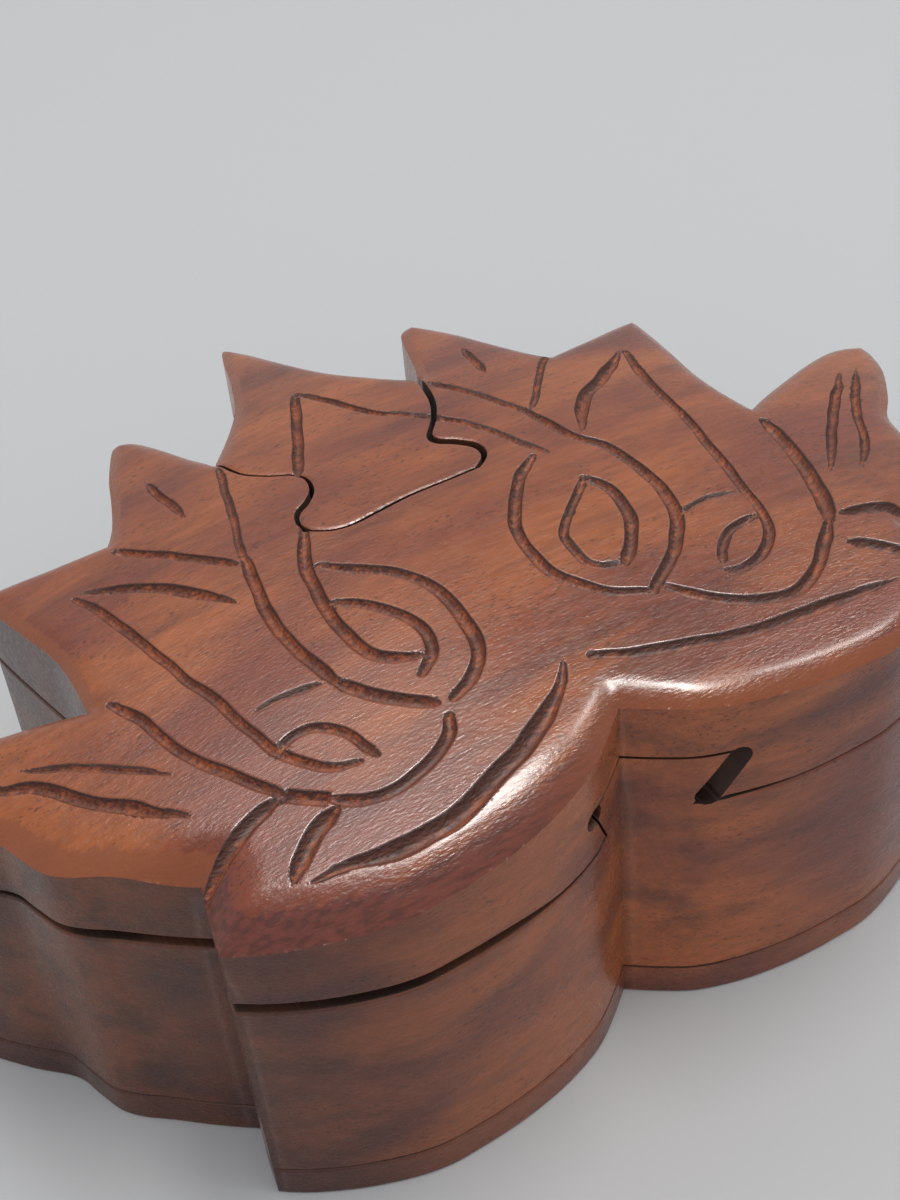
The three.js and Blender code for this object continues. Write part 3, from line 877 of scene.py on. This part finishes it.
# %% Grain patterns
GRAIN_TURN = math.radians(9)
PER_METRE = 1000.0
FIGURE, DARK_BAND, FINE_STREAK = (40, 18), (34, 6), (5, 0.9)
PORE, PORE_PATCH = (1.0, 0.28), (12, 6)
PORE_COLOUR = "#2a100a"


def grained(tree, size, detail=3.0, shift=(0, 0, 0), rough=0.55):
    """Noise whose features have a size in mm along the grain and across it."""
    along, across = (PER_METRE / mm for mm in size)
    place = add(tree, "TexCoord").outputs["Object"]
    stretched = add(tree, "Mapping", {"Vector": place, "Location": shift, "Rotation": (0, 0, GRAIN_TURN),
                                      "Scale": (along, across, across)})
    return add(tree, "TexNoise", {"Vector": stretched, "Scale": 1.0, "Detail": detail, "Roughness": rough})


def streaks(tree, size, span, amount=(0.0, 1.0), detail=3.0, shift=(0, 0, 0), rough=0.55):
    """Grain of one size that rises smoothly from one amount to another over a span of the noise."""
    grain = grained(tree, size, detail, shift, rough)
    return add(tree, "MapRange", {"Value": grain, "From Min": span[0], "From Max": span[1],
                                  "To Min": amount[0], "To Max": amount[1]}, interpolation_type="SMOOTHSTEP")


def wood_colour(tree, light, deep, dark):
    """Patches of figure, darker bands and fine streaks along the grain, and dark open pores."""
    figure = streaks(tree, FIGURE, (0.36, 0.64), detail=2.0)
    band = streaks(tree, DARK_BAND, (0.45, 0.72), (0.0, 0.6), shift=(3, 1, 2))
    shade = streaks(tree, FINE_STREAK, (0.3, 0.7), (0.88, 1.12), 4.0, (9, 4, 1))
    porous = streaks(tree, PORE_PATCH, (0.38, 0.6), (0.0, 0.6), 1.0, (5, 5, 5))
    pore = streaks(tree, PORE, (0.61, 0.69), (0.0, 1.0), 1.0, (1, 7, 3), 0.4)
    in_pore = add(tree, "Math", {0: pore, 1: porous}, operation="MULTIPLY")
    colour = add(tree, "Mix", {0: figure, 6: linear(deep), 7: linear(light)}, data_type="RGBA")
    colour = add(tree, "Mix", {0: band, 6: colour, 7: linear(dark)}, data_type="RGBA")
    colour = add(tree, "Mix", {0: 1.0, 6: colour, 7: shade}, data_type="RGBA", blend_type="MULTIPLY")
    return add(tree, "Mix", {0: in_pore, 6: colour, 7: linear(PORE_COLOUR)}, data_type="RGBA")


print("pores drawn", PORE[0], "mm long and", PORE[1], "mm wide")

# %% [markdown]
# ## Lacquer
# A thin semi-gloss lacquer has sunk into the open grain: the fibres still stand up under it as a fine
# ripple, and break a lamp's reflection into a silky sheen. Real fibres are some 0.1 mm wide, too fine to
# show, so they are drawn about four times as wide. Wood and lacquer both have an IOR near 1.5.

# %% Lacquered wood
IOR_WOOD, IOR_LACQUER = 1.5, 1.5
SHEEN = 0.34
COAT, COAT_ROUGHNESS = 0.3, 0.18
FIBRE, FIBRE_HEIGHT = (1.0, 0.38), 0.095
GLOSS_STREAK, DULLNESS = (3, 0.8), (0.24, 0.38)


def wood_surface(tree):
    """Height (mm) of the fibres and roughness of the lacquer over them."""
    fibre = grained(tree, FIBRE, 2.0, (4, 2, 9))
    height = add(tree, "Math", {0: fibre, 1: FIBRE_HEIGHT}, operation="MULTIPLY")
    return height, streaks(tree, GLOSS_STREAK, (0.3, 0.7), DULLNESS, 2.0, (2, 8, 6))


def lacquered(tree, colour, height, rough, coat):
    """Ends the tree of a lacquered wood."""
    bump = add(tree, "Bump", {"Height": height, "Distance": MM})
    finish_off(tree, {"Base Color": colour, "Roughness": rough, "Normal": bump, "IOR": IOR_LACQUER,
                      "Specular IOR Level": SHEEN, "Coat Weight": coat, "Coat Roughness": COAT_ROUGHNESS,
                      "Coat IOR": IOR_LACQUER})


print("coat weight", COAT, "over a base of IOR", IOR_LACQUER)

# %% [markdown]
# ## The worn rim, with painted shade on the left lobe
# Where the edge of the lid was rounded, the sander went through the stained surface. Mostly that shows as a
# thin orange-brown band. On the left lobe the band is painted dark red with streaks: wear, darkened with
# painted shade where the steep rim faces the darker room in front. Its border wanders with the grain, so
# blotches are added to the rim attribute before it is cut off.

# %% Worn rim with painted shade
RIM_BORDER, RIM_STRENGTH = (0.52, 0.62), 0.85
RIM_BLOTCH, RIM_WANDER, RIM_STREAK = (2.2, 0.8), (-0.06, 0.06), (5, 0.7)
# The two reds of the left lobe's rim are worn wood darkened with painted shade.
RIM_ORANGE, RIM_RED_SHADED, RIM_DARK_RED_SHADED = "#8f4a26", "#70342a", "#52251e"


def with_worn_shaded_rim(tree, colour):
    """Lays the rim's colours over the wood's colour, with painted shade in the left lobe's reds."""
    rim, left = (add(tree, "Attribute", attribute_name=name).outputs["Fac"] for name in ("rim", "left_rim"))
    blotch = streaks(tree, RIM_BLOTCH, (0.3, 0.7), RIM_WANDER, shift=(2, 2, 2))
    wandering = add(tree, "Math", {0: rim, 1: blotch}, operation="ADD")
    worn = add(tree, "MapRange", {"Value": wandering, "From Min": RIM_BORDER[0], "From Max": RIM_BORDER[1],
                                  "To Max": RIM_STRENGTH}, interpolation_type="SMOOTHSTEP")
    streak = streaks(tree, RIM_STREAK, (0.4, 0.62), shift=(6, 2, 2))
    red = add(tree, "Mix", {0: streak, 6: linear(RIM_RED_SHADED), 7: linear(RIM_DARK_RED_SHADED)}, data_type="RGBA")
    # Painted shade: the left lobe's rim takes the darker reds.
    rim_colour = add(tree, "Mix", {0: left, 6: linear(RIM_ORANGE), 7: red}, data_type="RGBA")
    return add(tree, "Mix", {0: worn, 6: colour, 7: rim_colour}, data_type="RGBA")


print("rim border at", *RIM_BORDER, "of its width")

# %% [markdown]
# ## Inside the gouge lines
# The gouge bares orange wood, and the cuts are scorched: dark along both lips and in patches. The side that
# faces the front is darker still: painted shade for the wall that turns away from the light. No lacquer fills
# them, so they are dull between glossy lips, and look deep.

# %% Burnt grooves with painted shade
# The fourth colour is painted shade, laid on the groove walls that face the front.
BARE_WOOD, TOASTED, LIP_CHAR, SIDE_SHADE, PATCH_CHAR = "#a65428", "#6a2f1b", "#3a1810", "#3c190f", "#4a2015"
CHAR_STREAK, CHAR_PATCH, CHAR_RAGGED = (2.2, 0.5), (7, 3.5), 0.3
SHADED_SIDE, SHADE_BORDER, SHADE_STRENGTH = (0.15, -1.0, 0.0), (0.3, 0.8), 0.8
LIP_BORDER = (0.06, 0.4)


def groove_colour(tree, groove):
    """Bare wood, scorched at the lips and in patches, with painted shade on the side that faces the front."""
    char = streaks(tree, CHAR_STREAK, (0.34, 0.66), detail=4.0, shift=(6, 6, 2))
    normal = add(tree, "NewGeometry").outputs["Normal"]
    # Painted shade on the walls that face the front, its border made ragged by the char.
    shade_facing = add(tree, "VectorMath", {0: normal, 1: SHADED_SIDE}, operation="DOT_PRODUCT")
    ragged = add(tree, "Math", {0: char, 1: CHAR_RAGGED, 2: shade_facing}, operation="MULTIPLY_ADD")
    side = add(tree, "MapRange", {"Value": ragged, "From Min": SHADE_BORDER[0], "From Max": SHADE_BORDER[1],
                                  "To Max": SHADE_STRENGTH}, interpolation_type="SMOOTHSTEP")
    patch = streaks(tree, CHAR_PATCH, (0.42, 0.6), (0.0, 0.55), 2.0, (3, 8, 5))
    middle = add(tree, "MapRange", {"Value": groove, "From Min": LIP_BORDER[0], "From Max": LIP_BORDER[1]},
                 interpolation_type="SMOOTHSTEP")
    colour = linear(BARE_WOOD)
    for amount, over in ((char, TOASTED), (side, SIDE_SHADE), (patch, PATCH_CHAR)):
        colour = add(tree, "Mix", {0: amount, 6: colour, 7: linear(over)}, data_type="RGBA")
    return add(tree, "Mix", {0: middle, 6: linear(LIP_CHAR), 7: colour}, data_type="RGBA")


print("lips charred to", LIP_BORDER[1], "of the way to the middle")

# %% [markdown]
# ## Top of the lid
# Lacquered hardwood with its rim and grooves. Cuts are rougher and scraped, nearly without a coat.

# %% Lacquered top
CUT_BORDER = 0.05
CUT_ROUGHER, CUT_COAT = 0.3, 0.02
SCRAPE, SCRAPE_HEIGHT = (0.8, 0.4), 0.16


def top_finish(name, *colours):
    """Lacquered hardwood with burnt gouge lines and a worn rim."""
    made, tree = material(name)
    groove = add(tree, "Attribute", attribute_name="groove").outputs["Fac"]
    in_cut = add(tree, "MapRange", {"Value": groove, "From Max": CUT_BORDER}, interpolation_type="SMOOTHSTEP")
    colour = with_worn_shaded_rim(tree, wood_colour(tree, *colours))
    colour = add(tree, "Mix", {0: in_cut, 6: colour, 7: groove_colour(tree, groove)}, data_type="RGBA")
    height, rough = wood_surface(tree)
    scrape = grained(tree, SCRAPE, 3.0, (7, 1, 4))
    scraped = add(tree, "Math", {0: scrape, 1: SCRAPE_HEIGHT}, operation="MULTIPLY")
    height = add(tree, "Math", {0: scraped, 1: in_cut, 2: height}, operation="MULTIPLY_ADD")
    rough = add(tree, "Math", {0: in_cut, 1: CUT_ROUGHER, 2: rough}, operation="MULTIPLY_ADD")
    coat = add(tree, "MapRange", {"Value": in_cut, "To Min": COAT, "To Max": CUT_COAT})
    lacquered(tree, colour, height, rough, coat)
    return made


lacquered_top = top_finish("lacquered_hardwood_top", "#a35626", "#803a21", "#5f291b")
print(lacquered_top.name, "of", len(lacquered_top.node_tree.nodes), "nodes")

# %% [markdown]
# ## Walls and plate
# The walls are the same wood with the same lacquer. A slow fade along x darkens walls and plate towards the
# left: painted shade for the walls that turn away from the light. The plate is a board of its own, a little
# darker and more even.

# %% Sanded walls
# Painted shade, darker towards the left: x (mm) where it is deepest and where it ends, and the share of
# colour kept where deepest.
LEFT_SHADE_X = (-62, -5)
LEFT_SHADE_LEAST = 0.42


def wall_finish(name, *colours):
    """Lacquered hardwood, darkened towards the left with painted shade."""
    made, tree = material(name)
    across = add(tree, "SeparateXYZ", {0: add(tree, "TexCoord").outputs["Object"]})
    low, high = (x * MM for x in LEFT_SHADE_X)
    painted_shade = add(tree, "MapRange", {"Value": across, "From Min": low, "From Max": high,
                                   "To Min": LEFT_SHADE_LEAST}, interpolation_type="SMOOTHSTEP")
    colour = add(tree, "Mix", {0: 1.0, 6: wood_colour(tree, *colours), 7: painted_shade}, data_type="RGBA",
                 blend_type="MULTIPLY")
    lacquered(tree, colour, *wood_surface(tree), COAT)
    return made


sanded_wall = wall_finish("sanded_hardwood_wall", "#a0562e", "#70382a", "#452420")
plate_wood = wall_finish("plate_hardwood", "#8a4a2c", "#6c392c", "#4a2a23")
print(sanded_wall.name, "and", plate_wood.name)

# %% [markdown]
# ## Raw from the saw
# Inside the seam, the dovetail and the compartment the wood is as the blade left it: dull, without lacquer,
# scorched in bands, with fine marks that run across the grain.

# %% Sawn wood
SCORCH, SAW_MARK = (22, 9), (0.7, 9)
SAW_MARK_HEIGHT = 0.18
SAWN_ROUGHNESS = 0.72


def raw_finish(name, bare, scorched):
    """Dull wood with saw marks and scorched bands."""
    made, tree = material(name)
    scorch = streaks(tree, SCORCH, (0.35, 0.65), shift=(8, 3, 3))
    colour = add(tree, "Mix", {0: scorch, 6: linear(bare), 7: linear(scorched)}, data_type="RGBA")
    marks = grained(tree, SAW_MARK, 2.0, (2, 2, 7))
    height = add(tree, "Math", {0: marks, 1: SAW_MARK_HEIGHT}, operation="MULTIPLY")
    bump = add(tree, "Bump", {"Height": height, "Distance": MM})
    finish_off(tree, {"Base Color": colour, "Roughness": SAWN_ROUGHNESS, "Normal": bump, "IOR": IOR_WOOD})
    return made


sawn_wood = raw_finish("sawn_hardwood", "#5c3622", "#2e180f")
print(sawn_wood.name, "with marks", SAW_MARK[0], "mm wide")

# %% [markdown]
# ## Dressing and riding
# Each piece gets the three finishes in the order of their numbers, and moves with the body of the solid that
# it stands for, so the lid still slides and the key lifts.

# %% Finishes, bodies and slots
for piece, walls in ((lid, sanded_wall), (key, sanded_wall), (body, sanded_wall), (plate, plate_wood)):
    for finish in (lacquered_top, walls, sawn_wood):
        piece.data.materials.append(finish)
for piece, node, body_name, slot_name in (
    (body, "body_block", "base", "sawn_walls"),
    (plate, "bottom_plate", "base", "plate"),
    (lid, "lid", "lid", "carved_top"),
    (key, "key_petal", "key", "carved_top"),
):
    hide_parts(node)
    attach(piece, body_name)
    print(piece.name, "rides on", body_name)

# %% [markdown]
# ## Floor
# White paper, wide enough to reach past the frame in low views. It has hardly any gloss.

# %% Floor
FLOOR_HALF = 6.0
floor_mesh = bpy.data.meshes.new("floor")
corners = [(x * FLOOR_HALF, y * FLOOR_HALF, 0) for x, y in ((-1, -1), (1, -1), (1, 1), (-1, 1))]
floor_mesh.from_pydata(corners, [], [(0, 1, 2, 3)])
floor = bpy.data.objects.new("floor", floor_mesh)
bpy.context.collection.objects.link(floor)
paper, paper_tree = material("white_paper")
finish_off(paper_tree, {"Base Color": linear("#d0d1d2"), "Roughness": 0.9, "Specular IOR Level": 0.2})
floor_mesh.materials.append(paper)
print("floor", 2 * FLOOR_HALF, "m wide")

# %% [markdown]
# ## Light
# An even room and a lamp overhead, a little to the right, where the rounded front rim mirrors it towards
# the camera. Four more lamps are only mirrored: they give the lacquer its bright rim and sheen without
# washing out the colour. Each has a place and a size in metres, a power in watts and a colour.

# %% Light
ROOM_LIGHT = 0.71
LAMPS = {
    "overhead": ((0.16, -0.02, 0.97), (0.5, 0.15), 2.4, "#fffdf9"),
    "overhead_glint": ((0.22, -0.02, 0.98), (0.36, 0.15), 9.0, "#fffdf9"),
    "left_glint": ((-0.03, 0.12, 1.0), (0.26, 0.42), 5.2, "#fffdf9"),
    "right_glint": ((0.62, 0.1, 0.78), (0.12, 0.3), 3.0, "#fffdf9"),
    "window_glint": ((0.06, 0.5, 0.88), (0.4, 0.35), 1.15, "#ffffff"),
}
world = bpy.data.worlds.new("room")
world.use_nodes = True
world.node_tree.nodes["Background"].inputs["Color"].default_value = linear("#f6f8fb")
world.node_tree.nodes["Background"].inputs["Strength"].default_value = ROOM_LIGHT
bpy.context.scene.world = world


def softbox(name, place, size, power, colour):
    """A rectangular lamp that looks at the box. One named a glint is only mirrored."""
    lamp = bpy.data.lights.new(name, "AREA")
    lamp.shape, lamp.size, lamp.size_y = "RECTANGLE", *size
    lamp.energy, lamp.color = power, linear(colour)[:3]
    made = bpy.data.objects.new(name, lamp)
    made.location = place
    made.visible_diffuse = not name.endswith("glint")
    made.rotation_mode = "QUATERNION"
    made.rotation_quaternion = (-Vector(place)).to_track_quat("-Z", "Y")
    bpy.context.collection.objects.link(made)


for name, settings in LAMPS.items():
    softbox(name, *settings)
bpy.context.scene.view_settings.view_transform = "Standard"
print(len(LAMPS), "lamps in a room of strength", ROOM_LIGHT)
